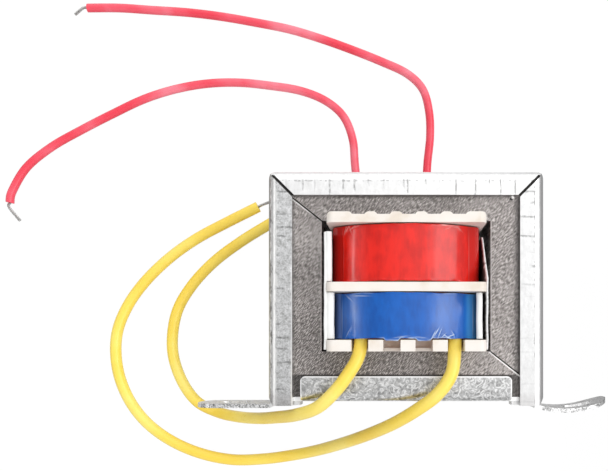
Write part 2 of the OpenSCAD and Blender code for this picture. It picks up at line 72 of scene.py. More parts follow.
# Middle of the frame, which leads and papers are laid about, and the core's centre, in millimetres
MIDDLE = np.array([0.8, 0.45, 0.0])
CORE = (0.8, 1.3, 18.0)

# Sizes of the solids that the finishes follow, in millimetres about the core's centre
FRAME_HALF_W = 25.3
FRAME_TOP = 21.1
FLANGE_W = 4.5
FLANGE_EDGE_X = FRAME_HALF_W - FLANGE_W
FLANGE_EDGE_Y = FRAME_TOP - FLANGE_W
WINDOW_X, WINDOW_Y = 15.5, 12.0
JOINT_X, JOINT_Y = 9.0, 7.1
STAKE_X, STAKE_Y = 19.4, 16.1
FOOT_TIP = 40.6
FOOT_FRONT = 5.0
TIP_R = 4.3
BOW_PULL = 1.6
BASE_TOP = -16.5
BASE_HALF_W = 19.3
CORE_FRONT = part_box("core_upper")[1][2] / MM - CORE[2]
FRAME_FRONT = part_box("frame")[1][2] / MM - CORE[2]

# Tape in millimetres: its bows and corners, thickness, insets of its lower and upper edges, flaps that
# hang into notches, curled rims, step of a layer, width of the painted highlights along its rims, and
# places along it where painted light begins on its far side beside the paper and where it goes flat at
# the rear
BOW_R = 20.0
CORNER_R = 3.0
ARC_STEPS = 200
TAPE_T = 0.3
INSET_LOW, INSET_HIGH = 0.10, 0.06
FLAP_HANG, FLAP_HALF_W = 0.42, 1.25
CURL_W, CURL_H = 0.22, 0.04
LAYER_T = 0.05
RIM_GLINT_W = 0.16
SIDE_LIGHT_FROM = 11.3
FLAT_FROM = 50.0
MOST_PALE = 0.85

# Middles of the leads in millimetres, from under the tape to the cut end, as the solids have them
PRIMARY_LEFT = [
    (-8.2, 8.85, 3.35), (-8.2, 13.2, 3.35), (-9, 18.5, 2.4), (-10.3, 24, 0.95), (-11, 30, 0.95),
    (-11.5, 35.5, 0.95), (-13.5, 40.5, 0.95), (-17.5, 44, 0.95), (-23, 46.2, 0.95), (-29.5, 47.3, 0.95),
    (-36.5, 48, 0.95), (-43.5, 47.8, 0.95), (-50.5, 46.6, 0.95), (-57.5, 44.4, 0.95),
    (-64.5, 41.1, 0.95), (-71.5, 37.5, 0.95), (-78, 33.8, 0.95), (-83.5, 29.3, 0.95),
    (-86.7, 24, 0.95), (-87.2, 21.5, 0.95),
]
PRIMARY_RIGHT = [
    (5, 8.85, 2.15), (5, 13.2, 2.15), (4.9, 18.5, 1.7), (4.8, 24, 0.95), (5, 30, 0.95),
    (5.6, 36, 0.95), (5.4, 41.5, 0.95), (4, 46.5, 0.95), (0.5, 50, 0.95), (-5, 52.6, 0.95),
    (-11.5, 55.2, 0.95), (-18.5, 57.7, 0.95), (-25.5, 59.8, 0.95), (-33, 61.3, 0.95),
    (-40.5, 62.6, 0.95), (-48, 63.5, 0.95), (-55.5, 64, 0.95), (-63, 64.5, 0.95), (-70, 64.5, 0.95),
]
SECONDARY_LEFT = [
    (-8.1, -6.65, 32.35), (-8.1, -10, 32.35), (-8.7, -12.4, 32.4), (-10.1, -14.8, 32.4),
    (-12.5, -18, 32), (-16, -21.2, 30.4), (-20.4, -22.9, 26.4), (-25, -24, 19.8), (-30, -24.9, 13),
    (-35.5, -25.2, 6.8), (-41, -24.6, 2.4), (-46, -22.2, 1.3), (-49.5, -17, 1.3), (-51.2, -10.5, 1.3),
    (-50.3, -3, 1.3), (-47, 3, 1.3), (-42, 8.4, 1.3), (-36, 12.9, 1.3), (-30, 16.6, 1.3),
    (-26.5, 18.6, 1.3),
]
SECONDARY_RIGHT = [
    (8.6, -6.65, 32.1), (8.6, -10.8, 32.1), (8, -15, 32.6), (5.6, -18.6, 32.4), (2, -21.6, 30.2),
    (-2.4, -24.6, 26), (-7.4, -27.4, 19.8), (-12.8, -30, 13), (-18.6, -32.3, 7), (-24.8, -34, 3),
    (-31, -35, 1.5), (-38, -35.2, 1.3), (-45, -33.8, 1.3), (-51.5, -31, 1.3), (-57, -26.9, 1.3),
    (-61, -21.5, 1.3), (-63.3, -15, 1.3), (-63.5, -8, 1.3), (-61.4, -2, 1.3), (-57.5, 3.7, 1.3),
    (-52, 9.1, 1.3), (-46, 13.4, 1.3), (-39.5, 16.9, 1.3), (-32.3, 20.5, 1.3),
]
TIPS = {
    "primary_end_left": [(-87.2, 21.5, 0.95), (-87.4, 20.5, 0.95), (-85.2, 17.6, 0.45)],
    "primary_end_right": [(-70, 64.5, 0.95), (-71, 64.5, 0.95), (-73, 63.3, 0.45)],
    "secondary_end_left": [(-26.5, 18.6, 1.3), (-25.8, 19, 1.3), (-23.6, 20, 0.8)],
    "secondary_end_right": [(-32.3, 20.5, 1.3), (-31.3, 21, 1.3), (-29.9, 21.6, 1)],
}
PRIMARY_D = 1.8
SECONDARY_D = 2.4
CONDUCTOR_D = 0.6
LEAD_BEVEL, LEAD_STEPS = 6, 8
STRANDS, STRAND_SIDES, STRAND_STEPS, STRAND_TURNS = 7, 8, 14, 1.6

# Front edges of the liners in millimetres: height, where the edge starts to fall back along Y, over what
# length and how far
TORN_EDGE = (34.9, 1.6, 8.3, 8.0)
NOTCHED_EDGE = (34.75, 9.8, 0.3, 14.0)
WHITE_BAND = 1.5


class Socket:
    """One output of a shader node. Arithmetic on it adds Math nodes to the same tree."""

    def __init__(self, tree, output):
        self.tree, self.output = tree, output

    def node(self, kind, settings=None, inputs=None, out=0):
        """Adds a node of one kind, with its settings first and then its sockets, by name or number."""
        made = self.tree.nodes.new("ShaderNode" + kind)
        for key, value in (settings or {}).items():
            if key == "stops":
                set_ramp(made.color_ramp, value)
            else:
                setattr(made, key, value)
        feed(self.tree, made, inputs or {})
        return Socket(self.tree, made.outputs[out])

    def math(self, operation, left, right=0.0):
        return self.node("Math", {"operation": operation}, {0: left, 1: right})

    def __add__(self, other):
        return self.math("ADD", self, other)

    def __sub__(self, other):
        return self.math("SUBTRACT", self, other)

    def __rsub__(self, other):
        return self.math("SUBTRACT", other, self)

    def __mul__(self, other):
        return self.math("MULTIPLY", self, other)

    def __truediv__(self, other):
        return self.math("DIVIDE", self, other)

    def __lt__(self, other):
        return self.math("LESS_THAN", self, other)

    def __gt__(self, other):
        return self.math("GREATER_THAN", self, other)

    def __abs__(self):
        return self.math("ABSOLUTE", self)

    __radd__ = __add__
    __rmul__ = __mul__


def set_ramp(ramp, stops):
    """Gives a colour ramp its stops, each a place and a colour or a grey level."""
    while len(ramp.elements) < len(stops):
        ramp.elements.new(1.0)
    for element, (place, colour) in zip(ramp.elements, stops):
        element.position = place
        element.color = (colour,) * 3 + (1.0,) if isinstance(colour, float) else (*colour, 1.0)


def feed(tree, node, inputs):
    """Sets or links the inputs of a node, by name or number."""
    for key, value in inputs.items():
        if isinstance(value, Socket):
            tree.links.new(value.output, node.inputs[key])
        else:
            node.inputs[key].default_value = value


def finish_of(name, build):
    """Makes a material: build gets the place in millimetres about the core's centre and returns the
    shader's inputs."""
    material = bpy.data.materials.new(name)
    material.use_nodes = True
    tree = material.node_tree
    here = Socket(tree, tree.nodes.new("ShaderNodeTexCoord").outputs["Object"])
    place = here.node("Mapping", {}, {
        "Vector": here, "Scale": (1 / MM,) * 3, "Location": tuple(-c for c in CORE)})
    feed(tree, tree.nodes["Principled BSDF"], build(place))
    return material


def grain(place, scale, detail=2.0, turn=0.0, roughness=0.5, distortion=0.0):
    """Noise from 0 to 1, with one scale per millimetre or its own along X, Y and Z, turned about Z by
    some degrees."""
    scales = scale if isinstance(scale, tuple) else (scale,) * 3
    turned = place.node("Mapping", {}, {"Vector": place, "Rotation": (0, 0, math.radians(turn))})
    scaled = place.node("VectorMath", {"operation": "MULTIPLY"}, {0: turned, 1: scales})
    return place.node("TexNoise", {}, {
        "Vector": scaled, "Scale": 1.0, "Detail": detail, "Roughness": roughness,
        "Distortion": distortion})


def ramp(value, stops):
    """Colour ramp over a value from 0 to 1."""
    return value.node("ValToRGB", {"stops": stops}, {"Fac": value})


def smooth(value, low, high):
    """Soft step from 0 at low to 1 at high, or the other way round where low is the larger."""
    return value.node("MapRange", {"interpolation_type": "SMOOTHSTEP"}, {
        "Value": value, "From Min": low, "From Max": high})


def blend(factor, first, second):
    """Mixes two colours by a factor from 0 to 1."""
    return factor.node("Mix", {"data_type": "RGBA"}, {0: factor, 6: first, 7: second}, out=2)


def larger(first, second):
    """The larger of two values, the first of them a socket."""
    return first.math("MAXIMUM", first, second)


def smaller(first, second):
    """The smaller of two values, the first of them a socket."""
    return first.math("MINIMUM", first, second)


def bump(height):
    """Normal from a height in millimetres."""
    return height.node("Bump", {}, {"Height": height, "Strength": 1.0, "Distance": MM})


def mark_of(place, name):
    """Value that a mesh's points carry under a name."""
    return place.node("Attribute", {"attribute_name": name}, {}, out=2)


def parts_of(place):
    """X, Y and Z of a place."""
    return [place.node("SeparateXYZ", {}, {0: place}, out=axis) for axis in range(3)]


def rgb(r, g, b):
    return (r, g, b, 1.0)


def zinc_plate(place):
    """Bright zinc-plated sheet. The fold left short cross marks along the flanges' inner halves and a
    broken line along the bend. The left flange has sprung back a little, which a bump tilts, and the
    darker part of the room it faces is painted into its colour as painted reflection, with a painted
    highlight streak by its bend and a painted highlight along its inner rim. The feet's sheared edges are
    rough."""
    x, y, z = parts_of(place)
    mottle = grain(place, 1.1, 5.0, roughness=0.65)
    fine = grain(place, 4.5, 3.0)
    scuff = grain(place, (1.6, 0.55, 1.6), 5.0, roughness=0.7)

    # Place on the flanges: across from their outer edge, and along them with each side's marks its own
    right_shift = 57.0
    from_side = FRAME_HALF_W - abs(x)
    from_top = FRAME_TOP - y
    on_side = from_side < from_top
    across = smaller(from_side, from_top)
    along = on_side * y + (1 - on_side) * x + (x > 0) * right_shift
    facing = smooth(z, FRAME_FRONT - 2.2, FRAME_FRONT - 1.0)
    right = on_side * (x > 0)
    left = on_side * (x < 0) * (from_side < FLANGE_W + 0.1) * facing

    # Marks of the fold: rungs of uneven length and force, and dashes along the bend
    cell = x.node("TexVoronoi", {"voronoi_dimensions": "1D", "feature": "DISTANCE_TO_EDGE"}, {
        "W": along + 0.35 * grain(place, 0.7), "Scale": 0.36, "Randomness": 1.0})
    end, force = (
        x.node("TexNoise", {"noise_dimensions": "1D"}, {
            "W": along * rate + start, "Scale": 1.0, "Detail": 1.0})
        for rate, start in ((0.45, 3.0), (0.7, 11.0)))
    rung = (smooth(cell, 0.10, 0.025) * smooth(across, 1.5, 1.9) * smooth(force, 0.3, 0.55)
            * (1 - 0.8 * right * smooth(y, 5.0, -3.0))
            * smooth(across - 2.6 * smooth(end, 0.35, 0.65), 2.7, 1.9)
            * (0.45 + 0.55 * smooth(grain(place, 1.8), 0.38, 0.55)))
    dash = (smooth(abs(across - 2.2 + 0.5 * mottle), 0.2, 0.06) * (1 - 0.7 * left)
            * smooth(grain(place, (1.3, 1.3, 0.2), 3.0), 0.5, 0.58)
            * smooth(grain(place, (0.14, 0.14, 0.1)), 0.38, 0.55))
    marks = smaller(rung + dash * 0.7, 1.0)

    # Left flange, with painted reflection of a darker part of the room: its flat, its bend, a painted
    # highlight streak between them and a painted highlight along its inner rim
    flat = ramp(mottle * 0.55 + fine * 0.45, [
        (0.35, (0.40, 0.40, 0.39)), (0.5, (0.69, 0.695, 0.70)), (0.65, (0.92, 0.92, 0.93))])
    bend = ramp(scuff - 0.15 * smooth(y, -4.0, 5.0), [
        (0.35, (0.29, 0.285, 0.27)), (0.5, (0.53, 0.525, 0.51)), (0.65, (0.74, 0.74, 0.73))])
    drift = across + 2.0 * scuff
    painted_streak = smooth(drift, 1.4, 1.8) * smooth(drift, 2.8, 2.4)
    painted_left_reflection = blend(painted_streak, blend(smooth(across, 1.4, 0.8), flat, bend), rgb(0.97, 0.97, 0.96))
    rim_highlight = (smooth(across, FLANGE_W - 0.2, FLANGE_W - 0.1) * (across < FLANGE_W + 0.05)
           * smooth(y, 8.0, -4.0) * left)

    # Other sheet, a little darker on the right flange, with painted shade on the right flange's bend and
    # on the lower ends of both flanges
    plain = 0.60 + 0.24 * mottle - 0.14 * right * facing + 0.3 * scuff
    sheet = blend(left, plain, painted_left_reflection)
    sheet = blend(right * smooth(across, 1.3, 0.0) * facing, sheet, rgb(0.68, 0.68, 0.68))
    low_end_shade = on_side * facing * smooth(y, -19.0, -20.6) * (0.3 + 0.15 * left)
    sheet = blend(low_end_shade, sheet, rgb(0.45, 0.43, 0.43))

    # Feet: bright faces, and sheared edges that lie round a corner of radius TIP_R
    foot = smooth(abs(x), FRAME_HALF_W + 0.3, FRAME_HALF_W + 1.0)
    past = larger(abs(x) - FOOT_TIP + TIP_R + BOW_PULL * (x > 0), 0.0)
    near = larger(z - FOOT_FRONT + TIP_R, 0.0)
    sheared = smooth(x.math("SQRT", past * past + near * near), TIP_R - 0.12, TIP_R - 0.05)
    rough = mottle * 0.4 + fine * 0.6
    face = ramp(rough, [(0.38, 0.5), (0.5, 0.92), (0.6, 0.98)])
    edge = ramp(rough, [(0.40, 0.2), (0.49, 0.6), (0.57, 0.96)])
    sheet = blend(foot, sheet, blend(sheared, face, edge))

    marked = blend(marks * (0.62 + 0.16 * left), sheet, rgb(0.2, 0.2, 0.2))
    return {
        "Base Color": blend(rim_highlight, marked, rgb(0.9, 0.9, 0.9)),
        "Metallic": 1.0,
        "Roughness": 0.29 + 0.16 * fine,
        "Normal": bump(0.008 * fine + 0.02 * mottle - 0.02 * marks + 0.07 * left * across - 0.08 * rim_highlight),
    }


def spangled_plate(place):
    """Zinc sheet of the base plate, with a wormy crystalline mottling and a painted highlight along its
    sheared rim.
    """
    x, y, z = parts_of(place)
    spangle = grain(place, 0.9, 2.5, roughness=0.6, distortion=1.6)
    fine = grain(place, 5.0, 2.0)
    broad = grain(place, 0.45, 5.0, roughness=0.65, distortion=0.8)
    wall = ramp(broad, [(0.34, 0.48), (0.46, 0.62), (0.56, 0.76), (0.66, 0.66)])
    flange = ramp(spangle - 0.02 * smooth(x, 6.0, -6.0), [
        (0.34, 0.28), (0.44, 0.47), (0.52, 0.56), (0.58, 0.86), (0.66, 0.56)])
    shade = blend(smooth(z, CORE_FRONT - 0.6, CORE_FRONT), wall, flange)
    # Painted highlight along the top edge and the ends
    rim_highlight = larger(smooth(y, BASE_TOP - 0.32, BASE_TOP - 0.15),
                 smooth(abs(x), BASE_HALF_W - 0.3, BASE_HALF_W - 0.12))
    return {
        "Base Color": blend(rim_highlight, shade, rgb(0.97, 0.97, 0.97)),
        "Metallic": 1.0,
        "Roughness": 0.28 + 0.2 * fine,
        "Normal": bump(0.02 * spangle + 0.004 * fine),
    }


def rolled_lamination(with_burr_highlight):
    """Dull silicon steel with short slanting brush strokes, with painted shade beside and under the
    flanges. The lower stack also has a painted highlight along the burr of its mitred joints."""
    def build(place):
        x, y, z = parts_of(place)
        strokes = grain(place, (1.4, 7.0, 0.3), 0.0, turn=-50.0, roughness=0.4)
        speck = grain(place, (6.5, 6.5, 0.5), 0.0)
        cloud = grain(place, 0.16, 3.0)

        # Broad tones of the left leg, the bottom yoke with its lighter right end, and the top yoke
        leg = 0.03 * smooth(y, 3.0, 9.0) - 0.025 * smooth(y, -3.0, -8.0)
        bottom = smooth(y, -10.0, -13.0)
        tone = (leg * smooth(x, -12.0, -16.0)
                - 0.04 * bottom * smooth(x, -20.0, -13.0) * smooth(x, 10.5, 8.5)
                + 0.02 * bottom * smooth(x, 8.5, 10.5)
                - 0.035 * smooth(y, 10.0, 14.0) * smooth(x, 17.0, 9.0))
        tint = ramp(strokes * 0.56 + speck * 0.32 + cloud * 0.12 + tone, [
            (0.39, (0.115, 0.104, 0.099)), (0.5, (0.285, 0.26, 0.25)), (0.61, (0.60, 0.56, 0.545))])

        # Painted highlight along the window's edge, and painted shade beside and under the sheets that
        # lie on the stack and just above the base plate
        window_highlight = (smooth(abs(x), WINDOW_X + 0.24, WINDOW_X + 0.1) * (abs(y) < WINDOW_Y)
               * (z > CORE_FRONT - 0.05))
        beside_right = smooth(x, FLANGE_EDGE_X - 1.7, FLANGE_EDGE_X + 0.3)
        beside_left = smooth(x, 0.6 - FLANGE_EDGE_X, -0.2 - FLANGE_EDGE_X)
        below_top = smooth(y, FLANGE_EDGE_Y - 0.7, FLANGE_EDGE_Y + 0.1)
        above_base = smooth(y, BASE_TOP + 0.5, BASE_TOP + 0.05) * (0.75 + 0.2 * (abs(x) < BASE_HALF_W))
        under = larger(smooth(abs(x), FLANGE_EDGE_X - 0.05, FLANGE_EDGE_X + 0.15),
                       smooth(y, FLANGE_EDGE_Y - 0.05, FLANGE_EDGE_Y + 0.15))
        shade = larger(beside_right * 0.8, larger(beside_left, below_top) * 0.6)
        shade = larger(larger(shade, above_base), under)
        colour = blend(shade, blend(window_highlight * 0.5, tint, rgb(0.62, 0.56, 0.55)), rgb(0.03, 0.028, 0.027))

        # Staked mark in one corner: a pit, bumped in and painted dark as its shade, and a painted glint
        # beside it
        pit_and_shade, painted_glint = (
            smooth(place.node("VectorMath", {"operation": "DISTANCE"}, {
                0: place, 1: (STAKE_X + off, STAKE_Y + off, CORE_FRONT)}, out=1), 0.36, 0.16)
            for off in (-0.12, 0.16))
        colour = blend(painted_glint, blend(pit_and_shade, colour, rgb(0.03, 0.03, 0.03)), rgb(0.9, 0.88, 0.86))
        if with_burr_highlight:
            side = (x > 0) * 2 - 1
            off_line = (x - side * WINDOW_X) * JOINT_Y + (y + side * WINDOW_Y) * JOINT_X
            above = off_line / math.hypot(JOINT_X, JOINT_Y)
            # Painted highlight along the burr of the mitred joints, where its edge catches the light
            burr_highlight = smooth(above, -0.40, -0.32) * smooth(cloud, 0.3, 0.55)
            colour = blend(burr_highlight, colour, rgb(0.8, 0.79, 0.77))
        return {
            "Base Color": colour,
            "Metallic": 0.7,
            "Roughness": 0.36 + 0.2 * strokes,
            "Normal": bump(0.004 * strokes + 0.1 * pit_and_shade),
        }
    return build


def moulded_cream(place):
    """Creamy moulded plastic with faint stains."""
    cloud = grain(place, 0.26, 4.0)
    fine = grain(place, 1.5, 3.0)
    return {
        "Base Color": ramp(cloud, [
            (0.3, (0.74, 0.66, 0.57)), (0.45, (0.80, 0.745, 0.685)), (0.7, (0.82, 0.785, 0.74))]),
        "Roughness": 0.42 + 0.15 * fine,
        "Normal": bump(0.01 * fine),
    }


def film_tape(colour, deep, single_layer_and_side_light, painted_side_light, highlight_tint):
    """Glossy tape film in one colour, a little deeper in places, painted pale along its creases, sheen
    patches and rims as painted highlights, of another tone where a single layer covers the copper, a tone
    that also stands in for the light on the coil's sides, and lighter on its far side beside the paper as
    painted light."""
    def build(place):
        cloud = grain(place, (0.16, 0.2, 0.2), 4.0)
        fine = grain(place, (2.5, 0.6, 2.5), 2.0)
        streak = grain(place, (1.1, 0.3, 1.1), 3.0)
        pale, thin = mark_of(place, "pale"), mark_of(place, "thin")
        layers = blend(smooth(cloud * 0.55 + streak * 0.45, 0.36, 0.64), deep, colour)
        # The single layer's tone also stands in for the light falling on the coil's sides, and the far
        # side is lightened by painted side light
        film = blend(0 - thin, blend(thin, layers, single_layer_and_side_light), painted_side_light)
        return {
            # Painted highlights along creases, sheen patches and rims
            "Base Color": blend(pale, film, highlight_tint),
            "Roughness": 0.09 + 0.08 * cloud + 0.15 * pale,
            "Normal": bump(0.004 * fine),
        }
    return build


def insulation(colour, deep, pale):
    """Soft lead insulation with a satin skin, deeper and paler by turns along the lead; the paler turns
    are partly the sheath's own tone and partly painted highlight.
    """
    def build(place):
        cloud = grain(place, 0.08, 3.0)
        fine = grain(place, 3.0, 2.0)
        return {
            "Base Color": ramp(cloud, [(0.36, deep), (0.5, colour), (0.64, pale)]),
            "Roughness": 0.24 + 0.1 * fine,
            "Normal": bump(0.0015 * fine),
        }
    return build


def tinned(place):
    """Dull tinned copper."""
    fine = grain(place, 4.0, 2.0)
    return {
        "Base Color": ramp(fine, [(0.3, (0.42, 0.41, 0.40)), (0.7, (0.66, 0.65, 0.64))]),
        "Metallic": 1.0,
        "Roughness": 0.30 + 0.1 * fine,
    }


def enamelled_copper(place):
    """Rows of enamelled wire round the coil."""
    wire_r = 0.12
    y = parts_of(place)[1]
    rows = y.math("PINGPONG", y, wire_r)
    cloud = grain(place, (0.3, 0.9, 0.3), 2.0)
    return {
        "Base Color": blend(cloud, rgb(0.42, 0.14, 0.05), rgb(0.62, 0.26, 0.10)),
        "Metallic": 0.6,
        "Roughness": 0.3 + 0.1 * cloud,
        "Normal": bump(rows * 0.6),
    }


def liner_paper(place):
    """White insulating paper, painted dark as shade on the coil's side away from its front edge."""
    fibre = grain(place, (0.7, 0.25, 2.2), 4.0)
    white = ramp(fibre, [(0.3, (0.80, 0.795, 0.785)), (0.6, (0.87, 0.87, 0.86))])
    return {
        "Base Color": blend(mark_of(place, "pale"), rgb(0.10, 0.085, 0.075), white),
        "Roughness": 0.7 + 0.1 * fibre,
        "Normal": bump(0.01 * fibre),
    }


BUILDERS = {
    "zinc_plate": zinc_plate,
    "spangled_plate": spangled_plate,
    "upper_lamination": rolled_lamination(False),
    "lower_lamination": rolled_lamination(True),
    "moulded_cream": moulded_cream,
    "red_tape": film_tape(
        colour=rgb(0.79, 0.013, 0.0055), deep=rgb(0.56, 0.0065, 0.003), single_layer_and_side_light=rgb(0.54, 0.012, 0.008),
        painted_side_light=rgb(0.85, 0.03, 0.02), highlight_tint=rgb(0.90, 0.46, 0.44)),
    "blue_tape": film_tape(
        colour=rgb(0.003, 0.114, 0.49), deep=rgb(0.002, 0.08, 0.37), single_layer_and_side_light=rgb(0.13, 0.235, 0.60),
        painted_side_light=rgb(0.11, 0.45, 1.0), highlight_tint=rgb(0.72, 0.84, 0.95)),
    "red_insulation": insulation(
        colour=(0.86, 0.085, 0.13), deep=(0.82, 0.045, 0.08), pale=(0.89, 0.20, 0.26)),
    "yellow_insulation": insulation(
        colour=(0.97, 0.735, 0.11), deep=(0.95, 0.68, 0.08), pale=(0.98, 0.785, 0.17)),
    "tinned_wire": tinned,
    "enamelled_copper": enamelled_copper,
    "liner_paper": liner_paper,
}
FINISHES = {name: finish_of(name, build) for name, build in BUILDERS.items()}
NODE_FINISH = {
    "frame": "zinc_plate", "base_plate": "spangled_plate",
    "core_upper": "upper_lamination", "core_lower": "lower_lamination",
    "bobbin": "moulded_cream",
    "primary_winding": "enamelled_copper", "secondary_winding": "enamelled_copper",
    "primary_splice_left": "tinned_wire", "primary_splice_right": "tinned_wire",
    "secondary_splice_left": "tinned_wire", "secondary_splice_right": "tinned_wire",
}
for node_name, finish in NODE_FINISH.items():
    for slot in nodes[node_name].material_slots:
        slot.material = FINISHES[finish]


def grid_mesh(name, grids, finish, ring=False, marks=None):
    """Mesh from grids of points, each rows by columns and joined round its columns. The last row joins
    the first where the grid is a ring, and otherwise the first and last rows are closed by a face. Marks
    are values at the points."""
    points, faces, start = [], [], 0
    for grid in grids:
        rows, columns = grid.shape[:2]
        index = start + np.arange(rows * columns).reshape(rows, columns)
        here = np.vstack([index, index[:1]]) if ring else index
        right = np.roll(here, -1, axis=1)
        quads = np.stack([here[:-1], right[:-1], right[1:], here[1:]], -1)
        faces.extend(quads.reshape(-1, 4).tolist())
        if not ring:
            faces.append(index[0, ::-1].tolist())
            faces.append(index[-1].tolist())
        points.append(grid.reshape(-1, 3))
        start += rows * columns
    mesh = bpy.data.meshes.new(name)
    mesh.from_pydata((np.vstack(points) * MM).tolist(), [], faces)
    mesh.polygons.foreach_set("use_smooth", np.ones(len(mesh.polygons), dtype=bool))
    for key, values in (marks or {}).items():
        attribute = mesh.attributes.new(key, "FLOAT", "POINT")
        attribute.data.foreach_set("value", np.concatenate([v.ravel() for v in values]))
    mesh.materials.append(FINISHES[finish])
    made = bpy.data.objects.new(name, mesh)
    scene.collection.objects.link(made)
    return made


def stand_in(piece, node):
    """Puts a rebuilt piece in the place of its CAD node."""
    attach(piece, BODY)
    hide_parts(node)


def lay_lead(name, route, diameter, finish):
    """One smooth lead: a Bezier curve through the route, each handle a sixth of the way between the
    neighbours."""
    points = (np.array(route) + MIDDLE) * MM
    ahead = np.vstack([points[1:], points[-1:]])
    behind = np.vstack([points[:1], points[:-1]])
    handle = (ahead - behind) / 6
    curve = bpy.data.curves.new(name, "CURVE")
    curve.dimensions = "3D"
    curve.bevel_depth = diameter * MM / 2
    curve.bevel_resolution = LEAD_BEVEL
    curve.resolution_u = LEAD_STEPS
    curve.use_fill_caps = True
    spline = curve.splines.new("BEZIER")
    spline.bezier_points.add(len(points) - 1)
    bezier = spline.bezier_points
    bezier.foreach_set("co", points.ravel())
    for point in bezier:
        point.handle_left_type = point.handle_right_type = "FREE"
    bezier.foreach_set("handle_left", (points - handle).ravel())
    bezier.foreach_set("handle_right", (points + handle).ravel())
    curve.materials.append(FINISHES[finish])
    lead = bpy.data.objects.new(name, curve)
    scene.collection.objects.link(lead)
    return lead


def smooth_path(route, steps):
    """Points along a Catmull-Rom curve through the route, with some steps between neighbours."""
    p = np.array(route, dtype=float)
    p = np.vstack([2 * p[0] - p[1], p, 2 * p[-1] - p[-2]])
    t = np.linspace(0, 1, steps, endpoint=False)[:, None]
    a, b, c, d = (p[k:len(p) - 3 + k, None, :] for k in range(4))
    curve = 0.5 * (2 * b + (c - a) * t + (2 * a - 5 * b + 4 * c - d) * t ** 2
                   + (3 * b - a - 3 * c + d) * t ** 3)
    return np.vstack([curve.reshape(-1, 3), p[-2:-1]])


def side_and_up(path):
    """Unit vectors to the side and up along a path, the side level with the table."""
    heading = np.gradient(path, axis=0)
    heading /= np.linalg.norm(heading, axis=1)[:, None]
    side = np.cross(heading, (0.0, 0.0, 1.0))
    side /= np.linalg.norm(side, axis=1)[:, None]
    return side, np.cross(side, heading)


def twisted_strands(name, route, diameter):
    """Bare strands: one along the path and the rest on a helix round it that opens a little towards the
    tip, all of the same round section."""
    path = smooth_path(np.array(route) + MIDDLE, STRAND_STEPS)
    side, up = side_and_up(path)
    strand_r = diameter / 6
    along = np.linspace(0, 1, len(path))
    ring = np.linspace(0, -2 * np.pi, STRAND_SIDES, endpoint=False)
    around = np.cos(ring)[None, :, None] * side[:, None] + np.sin(ring)[None, :, None] * up[:, None]
    grids = []
    for k in range(STRANDS):
        wind = 2 * np.pi * (k / (STRANDS - 1) + STRAND_TURNS * along)
        lean = (2 * strand_r if k else 0.0) * (1 + 0.25 * along ** 3)
        middle = path + (lean * np.cos(wind))[:, None] * side + (lean * np.sin(wind))[:, None] * up
        grids.append(middle[:, None] + strand_r * around)
    return grid_mesh(name, grids, "tinned_wire")


LEADS = [
    # lead node, route, diameter, finish, bare end node, length in metres
    ("primary_lead_left", PRIMARY_LEFT, PRIMARY_D, "red_insulation", "primary_end_left", 0.118),
    ("primary_lead_right", PRIMARY_RIGHT, PRIMARY_D, "red_insulation", "primary_end_right", 0.1155),
    ("secondary_lead_left", SECONDARY_LEFT, SECONDARY_D, "yellow_insulation",
     "secondary_end_left", 0.115),
    ("secondary_lead_right", SECONDARY_RIGHT, SECONDARY_D, "yellow_insulation",
     "secondary_end_right", 0.1575),
]
for lead_node, route, diameter, finish, end_node, length in LEADS:
    strands = twisted_strands("strands_" + end_node, TIPS[end_node], CONDUCTOR_D)
    stand_in(strands, end_node)
    lead = lay_lead("laid_" + lead_node, route, diameter, finish)
    stand_in(lead, lead_node)


def coil_loop(half_w, half_d, count):
    """Even places round a coil from the middle of its front: across and depth, outward normal, signed
    distance along. Front and rear bows of radius BOW_R meet the straight sides in corner arcs of radius
    CORNER_R that touch both."""
    reach = BOW_R - CORNER_R
    corner_x = half_w - CORNER_R
    corner_z = math.sqrt(reach ** 2 - corner_x ** 2) - BOW_R + half_d
    turn = math.asin(corner_x / reach)
    t = np.linspace(0, 1, ARC_STEPS)[:, None]
    bow, corner = (np.hstack([np.sin(a), np.cos(a)]) for a in (turn * t, turn + (math.pi / 2 - turn) * t))
    quarter = np.vstack([
        [0, half_d - BOW_R] + BOW_R * bow, [corner_x, corner_z] + CORNER_R * corner,
        [[half_w, corner_z], [half_w, 0.0]]])
    outward = np.vstack([bow, corner, [[1, 0], [1, 0]]])
    quarters = [(1, 1, 1), (-1, 1, -1), (1, -1, -1), (-1, -1, 1)]
    both = np.vstack([
        np.hstack([quarter, outward])[::way] * [sx, sz, sx, sz] for way, sx, sz in quarters])
    run = np.concatenate([[0], np.cumsum(np.linalg.norm(np.diff(both[:, :2], axis=0), axis=1))])
    even = np.linspace(0, run[-1], count, endpoint=False)
    x, z, nx, nz = (np.interp(even, run, column) for column in both.T)
    size = np.hypot(nx, nz)
    return x, z, nx / size, nz / size, np.where(even > run[-1] / 2, even - run[-1], even)


def swell(u, y, seed, length, tall, count=9):
    """Gently uneven surface: a sum of sine waves with random headings and with wave lengths about one
    length."""
    rng = np.random.default_rng(seed)
    heading = rng.uniform(0, np.pi, count)
    pitch = length * rng.uniform(0.7, 1.7, count)
    phase = rng.uniform(0, 2 * np.pi, count)
    travel = u[..., None] * np.cos(heading) + y[..., None] * np.sin(heading)
    return tall * np.sin(2 * np.pi * travel / pitch + phase).sum(-1) / math.sqrt(count)


def folds(u, y, rows):
    """Pinched folds, each a ridge h exp(-(d / w)^2 - (t / l)^2), with d and t measured across and along
    its line."""
    total = np.zeros_like(u + y)
    for u0, y0, angle, length, width, height in rows:
        c, s = math.cos(math.radians(angle)), math.sin(math.radians(angle))
        t = (u - u0) * c + (y - y0) * s
        d = (y - y0) * c - (u - u0) * s
        total += height * np.exp(-(d / width) ** 2 - (t / length) ** 2)
    return total


def step(value, width):
    """Soft step from 0 to 1 as a value passes 0, over about one width."""
    return 0.5 + 0.5 * np.tanh(value / width)


